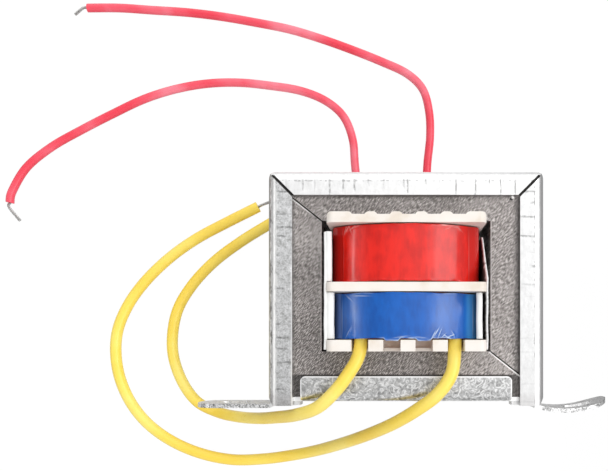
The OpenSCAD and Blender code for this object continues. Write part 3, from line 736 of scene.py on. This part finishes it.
def wrapped_tape(name, node, finish, seed, dent, pinches, layer, flaps, rim_glints, sheen_patches, painted_side_light,
                 columns=760, rows=64):
    """Tape wound round a coil: the CAD ring's outer face, raised by swells, pinched folds, the step of an
    outer layer between two places and a curled rim, with wavy edges that hang into some notches. The
    profile is carried round. The film is painted pale along its narrow folds, its sheen patches and some
    rims, as painted highlights, and painted lighter on its far side as painted light."""
    low, high = (np.array(corner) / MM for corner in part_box(node))
    middle = (low + high) / 2
    x, z, nx, nz, u = coil_loop((high[0] - low[0]) / 2, (high[2] - low[2]) / 2, columns)
    hang = sum((FLAP_HANG * step(FLAP_HALF_W - abs(u - flap), 0.15) for flap in flaps), 0 * u)
    bottom = low[1] + INSET_LOW + swell(u, 0 * u, seed, 3.0, 0.05) - hang
    top = high[1] - INSET_HIGH + swell(u, 0 * u, seed + 1, 3.5, 0.05)
    y = bottom + (top - bottom) * np.linspace(0, 1, rows)[:, None]
    about = y - middle[1]
    uu = u + 0 * y
    flat = 0 * y

    curl = np.exp(-((y - bottom) / CURL_W) ** 2) + np.exp(-((top - y) / CURL_W) ** 2)
    lift = (swell(uu, about, seed + 2, 7.0, dent) + swell(uu, 0.06 * about, seed + 3, 1.1, 0.0018)
            + folds(uu, about, pinches) + curl * (CURL_H + swell(uu, flat, seed + 4, 1.6, 0.035)))
    ripple = swell(flat, about, seed + 5, 4.0, 0.10)
    outer = step(uu - layer[0] - ripple, 0.05) * step(layer[1] + ripple - uu, 0.05)
    lift = (lift + LAYER_T * outer) * step(FLAT_FROM - abs(uu), 2.0)

    # Painted highlights: glints along the narrow folds, sheen patches and rim glints
    narrow = [(u0, y0, turn, 0.9 * l, 0.42 * w, 9 * h) for u0, y0, turn, l, w, h in pinches if w < 1]
    painted_highlight = folds(uu, about, narrow) + folds(uu, about, sheen_patches)
    patchy = 0.6 + swell(uu, flat, seed + 6, 1.4, 0.3)
    for at, reach, edge, strength in rim_glints:
        gap = y - bottom if edge < 0 else top - y
        painted_highlight += strength * np.exp(-(gap / RIM_GLINT_W) ** 2) * step(reach - abs(uu - at), 0.3) * patchy
    # Single layer at the edges, and painted side light on the far side beside the paper
    thin = 1 - outer - painted_side_light * step(uu - SIDE_LIGHT_FROM, 0.5)
    marks = {"pale": np.clip(painted_highlight, 0, MOST_PALE), "thin": thin}

    inner = np.full_like(u, -TAPE_T)
    lift = np.vstack([inner, lift, inner])
    y = np.vstack([bottom, y, top])
    grid = np.stack([middle[0] + x + nx * lift, y, middle[2] + z + nz * lift], -1)
    tape = grid_mesh(name, [grid], finish, ring=True, marks={
        key: [np.pad(mark, ((1, 1), (0, 0)))] for key, mark in marks.items()})
    stand_in(tape, node)


# Pinched folds: place along the front and up from the tape's middle, direction in degrees, length, width
# and height. Sheen patches, which are painted highlights, are given alike, with a strength for the
# height. Rim glints, painted highlights along the edges, have a place along the front, a reach, -1 for
# the lower or 1 for the upper edge, and a strength.
RED_FOLDS = [
    (-11.3, 4.3, 70, 0.9, 0.16, 0.07), (-10.8, 4.5, 50, 0.8, 0.15, 0.08),
    (-10.3, 4.3, 110, 0.7, 0.14, 0.07), (-9.7, 4.6, 35, 0.9, 0.15, 0.07),
    (-9.0, 4.7, 15, 0.9, 0.16, 0.05), (6.6, 4.8, 4, 1.3, 0.17, 0.08),
    (8.3, 4.7, 175, 1.2, 0.17, 0.07), (9.6, 4.4, 140, 0.8, 0.16, 0.05),
    (7.4, 4.3, 20, 0.7, 0.14, 0.04), (-15.5, 0, 90, 9.0, 2.2, 0.17),
    (11.75, -0.3, 90, 4.0, 0.12, 0.03), (-11.75, -0.5, 90, 4.0, 0.10, 0.03),
]
BLUE_FOLDS = [
    (4.7, -3.3, 62, 0.8, 0.15, 0.09), (5.2, -2.9, 58, 0.9, 0.15, 0.10),
    (5.8, -3.1, 66, 0.8, 0.14, 0.10), (6.5, -3.5, 40, 0.6, 0.14, 0.08),
    (7.1, -3.6, 150, 0.7, 0.14, 0.09), (7.9, -3.5, 20, 0.7, 0.15, 0.10),
    (8.4, -3.2, 120, 0.6, 0.14, 0.09), (5.6, -3.9, 5, 1.1, 0.14, 0.07),
    (7.6, -3.9, 175, 1.0, 0.14, 0.08), (-8.2, 3.5, 178, 1.5, 0.18, 0.07),
    (-10.6, 3.2, 140, 0.8, 0.16, 0.07), (-10.8, -3.0, 60, 0.9, 0.17, 0.04),
    (-1.0, -3.7, 8, 1.2, 0.18, 0.05), (2.4, -3.8, 174, 1.0, 0.18, 0.05),
    (12.6, -0.6, 90, 3.4, 0.20, 0.08), (-12.1, -0.6, 90, 4.0, 0.14, 0.04),
    (10.7, 1.3, 90, 1.2, 1.2, 0.08), (10.7, -1.0, 90, 3.4, 1.2, 0.05),
]
wrapped_tape(
    "wrapped_red_tape", "primary_tape", "red_tape", seed=3, dent=0.016, pinches=RED_FOLDS,
    layer=(-11.9, 11.5), flaps=(), rim_glints=[(7.8, 1.9, 1, 0.6)],
    sheen_patches=[(-9.7, -0.5, 88, 4.2, 0.3, 0.10)], painted_side_light=0.0)
wrapped_tape(
    "wrapped_blue_tape", "secondary_tape", "blue_tape", seed=17, dent=0.036, pinches=BLUE_FOLDS,
    layer=(-12.2, 30.0), flaps=(-2.53, 3.03),
    rim_glints=[(0, 4.6, -1, 0.8), (-7.8, 1.8, 1, 0.6), (7.6, 1.2, 1, 0.5)],
    sheen_patches=[(-9.4, 0.6, 96, 3.0, 0.9, 0.13), (6.4, 0.4, 84, 3.4, 1.9, 0.06),
           (-11.4, -0.3, 90, 4.5, 0.8, 0.09)],
    painted_side_light=0.9)


def paper_strip(y0, y1, line, ends, rows=70, steps=24):
    """Strip of paper: a section drawn in X and Z round a line of x, z and half thickness, carried along
    Y. Ends gives the line's last z at each row's place along Y, as a function, and the line is stretched
    to it. The front edge is rounded."""
    y = np.linspace(y0, y1, rows)[:, None]
    control = np.array(line, dtype=float)
    t = np.linspace(0, 1, steps)
    x, z, half = (np.interp(t, np.linspace(0, 1, len(line)), column)[None, :] for column in control.T)
    first, last = control[0, 1], control[-1, 1]
    z = first + (z - first) * (ends(y) - first) / (last - first)
    x = x + swell(y + 0 * z, 0.3 * z, 1, 5.0, 0.05) * t
    half = half + 0 * z
    dx, dz = np.gradient(x, axis=1), np.gradient(z, axis=1)
    size = np.hypot(dx, dz)
    lx, lz = -dz / size, dx / size
    bend = np.radians([150, 120, 90, 60, 30])
    tip_x = x[:, -1:] + half[:, -1:] * (np.cos(bend) * -lx[:, -1:] + np.sin(bend) * lz[:, -1:])
    tip_z = z[:, -1:] + half[:, -1:] * (np.cos(bend) * -lz[:, -1:] + np.sin(bend) * -lx[:, -1:])
    section_x = np.hstack([x + lx * half, tip_x, (x - lx * half)[:, ::-1]])
    section_z = np.hstack([z + lz * half, tip_z, (z - lz * half)[:, ::-1]])
    return np.stack([section_x, y + 0 * section_x, section_z], -1) + MIDDLE


def unshaded_paper(strips, rough, side):
    """Where some strips stay white: 1 on the side towards the leg and within a band of some roughness
    along the front edge, and 0 elsewhere, where the paper is painted dark as shade."""
    marks = []
    for strip, uneven in zip(strips, rough):
        y, z = strip[..., 1], strip[..., 2]
        columns = strip.shape[1]
        outer = np.arange(columns) * side > (columns / 2 + 2) * side
        edge = WHITE_BAND + swell(y, 0 * y, 9, 0.9, uneven) - (z.max(axis=1, keepdims=True) - z)
        marks.append(np.where(outer, 1.0, np.clip(edge, 0, 1)))
    return marks


def level(height, rough, seed):
    """Front edge of a strip at one height, uneven by some roughness."""
    return lambda y: height + swell(y, 0 * y, seed, 2.2, rough)


def cut_back(y, height, start, length, depth):
    """Front edge at one height that falls back by a depth over some length along Y."""
    return height - depth * np.clip((y - start) / length, 0, 1)


def torn(y):
    """Front edge of the right liner: whole beside the secondary and torn back along a slant beside the
    primary."""
    return cut_back(y, *TORN_EDGE) + swell(y, 0 * y, 5, 1.2, 0.10) + swell(y, 0 * y, 6, 0.5, 0.05)


def notched(y):
    """Front edge of the left liner: level, and cut back at the top, where it passes behind the bobbin's
    flange."""
    return cut_back(y, *NOTCHED_EDGE) + swell(y, 0 * y, 1, 2.2, 0.06)


LEFT_STRIPS = [
    paper_strip(-10.75, 12.3, [(-14.15, 1.0, 0.25), (-14.15, 30, 0.25), (-14.12, 34.7, 0.25)],
                notched, rows=140),
    paper_strip(1.15, 9.8, [(-13.85, 28, 0.12), (-13.7, 32, 0.3), (-13.6, 34.6, 0.6)],
                level(34.5, 0.08, 2)),
    paper_strip(-8.85, -0.8, [(-13.85, 28, 0.12), (-13.6, 32, 0.35), (-13.3, 34.6, 0.72)],
                level(34.4, 0.08, 3)),
]
RIGHT_STRIPS = [
    paper_strip(-10.75, 9.95, [(14.05, 1.0, 0.15), (14.05, 20, 0.15), (14.05, 35, 0.15)],
                torn, rows=160),
    paper_strip(-8.85, -0.8, [(13.95, 24, 0.12), (13.75, 29, 0.15), (13.3, 32, 0.3), (12.75, 34.2, 0.55)],
                level(34.2, 0.1, 4)),
]
for paper, node_name, strips, rough, side in (
        ("left_paper", "left_liner", LEFT_STRIPS, (0, 0, 0), -1),
        ("right_paper", "right_liner", RIGHT_STRIPS, (0.5, 0), 1)):
    sheet = grid_mesh(paper, strips, "liner_paper", marks={"pale": unshaded_paper(strips, rough, side)})
    stand_in(sheet, node_name)


def table():
    """White table top that shows as white and keeps a faint shadow, duller where the metal mirrors it."""
    corners = [(-1, -1), (1, -1), (1, 1), (-1, 1)]
    mesh = bpy.data.meshes.new("table_top")
    mesh.from_pydata([(TABLE_HALF * sx, TABLE_HALF * sy, -TABLE_DROP) for sx, sy in corners], [],
                     [(0, 1, 2, 3)])
    material = bpy.data.materials.new("white_table")
    material.use_nodes = True
    tree = material.node_tree
    here = Socket(tree, tree.nodes.new("ShaderNodeTexCoord").outputs["Object"])
    x, y = parts_of(here)[:2]
    beyond = smooth(y, 0.0, 0.03) * smooth(abs(x), 0.06, 0.02)
    right = smooth(x, 0.02, 0.04)
    feed(tree, tree.nodes["Principled BSDF"], {
        "Base Color": 0.66 + 0.12 * beyond - 0.36 * right * (1 - beyond),
        "Roughness": 0.9, "Specular IOR Level": 0.1})
    seen = Socket(tree, tree.nodes.new("ShaderNodeLightPath").outputs["Is Camera Ray"])
    glow = seen.node("Emission", {}, {"Color": rgb(1, 1, 1), "Strength": 1.04})
    lit = Socket(tree, tree.nodes["Principled BSDF"].outputs[0])
    mixed = seen.node("MixShader", {}, {0: seen * 0.94, 1: lit, 2: glow})
    tree.links.new(mixed.output, tree.nodes["Material Output"].inputs["Surface"])
    mesh.materials.append(material)
    top = bpy.data.objects.new("table_top", mesh)
    scene.collection.objects.link(top)


def studio():
    """Room that is lighter to the right and beyond the part and dim at the horizon, with a wide soft box
    on the right, brighter in its outer part, and a narrow one on the left."""
    world = bpy.data.worlds.new("studio")
    scene.world = world
    world.use_nodes = True
    tree = world.node_tree
    aim = Socket(tree, tree.nodes.new("ShaderNodeTexCoord").outputs["Generated"])
    seen = Socket(tree, tree.nodes.new("ShaderNodeLightPath").outputs["Is Camera Ray"])
    x, y, z = parts_of(aim)
    lean = smaller(larger(0.93 + 1.05 * x + 1.0 * y, 0.5), 1.35)
    front = smooth(y, -0.3, -0.65)
    beyond = smooth(y, 0.35, 0.75)
    height = larger(0.25 + 0.75 * smooth(z, 0.15, 0.85), larger(beyond, front * 0.8))
    left = smooth(x, -0.60, -0.84) * smooth(z, 0.49, 0.53)
    sky = larger(lean, front * 1.25) * height + 0.7 * left
    feed(tree, tree.nodes["Background"], {"Color": rgb(1, 1, 1), "Strength": larger(sky, seen)})
    for number, (name, inner, outer, radiance) in enumerate(SOFT_BOXES):
        far = BOX_FAR + BOX_SPACING * number
        middle, half = math.radians((inner + outer) / 2), math.radians((outer - inner) / 2)
        lamp = bpy.data.lights.new(name, "AREA")
        lamp.shape = "RECTANGLE"
        lamp.size, lamp.size_y = 2 * far * math.tan(half), BOX_LENGTH
        lamp.energy = radiance * math.pi * lamp.size * lamp.size_y
        box = bpy.data.objects.new(name, lamp)
        box.location = (far * math.sin(middle), BOX_Y, far * math.cos(middle))
        box.rotation_euler = (0, middle, 0)
        scene.collection.objects.link(box)


def camera():
    """Camera at the photograph's viewing angle, with its frame shifted off the lens axis."""
    data = bpy.data.cameras.new("camera")
    data.sensor_width = SENSOR_MM
    data.sensor_fit = "HORIZONTAL"
    data.lens = FOCAL_PX / PHOTO_W * SENSOR_MM
    data.shift_x = (PHOTO_W / 2 - AXIS_PX[0]) / PHOTO_W
    data.shift_y = (AXIS_PX[1] - PHOTO_H / 2) / PHOTO_W
    data.clip_start = CLIP_NEAR_M
    eye = bpy.data.objects.new("camera", data)
    eye.location = np.array(EYE_MM) * MM
    scene.collection.objects.link(eye)
    scene.camera = eye


table()
studio()
camera()
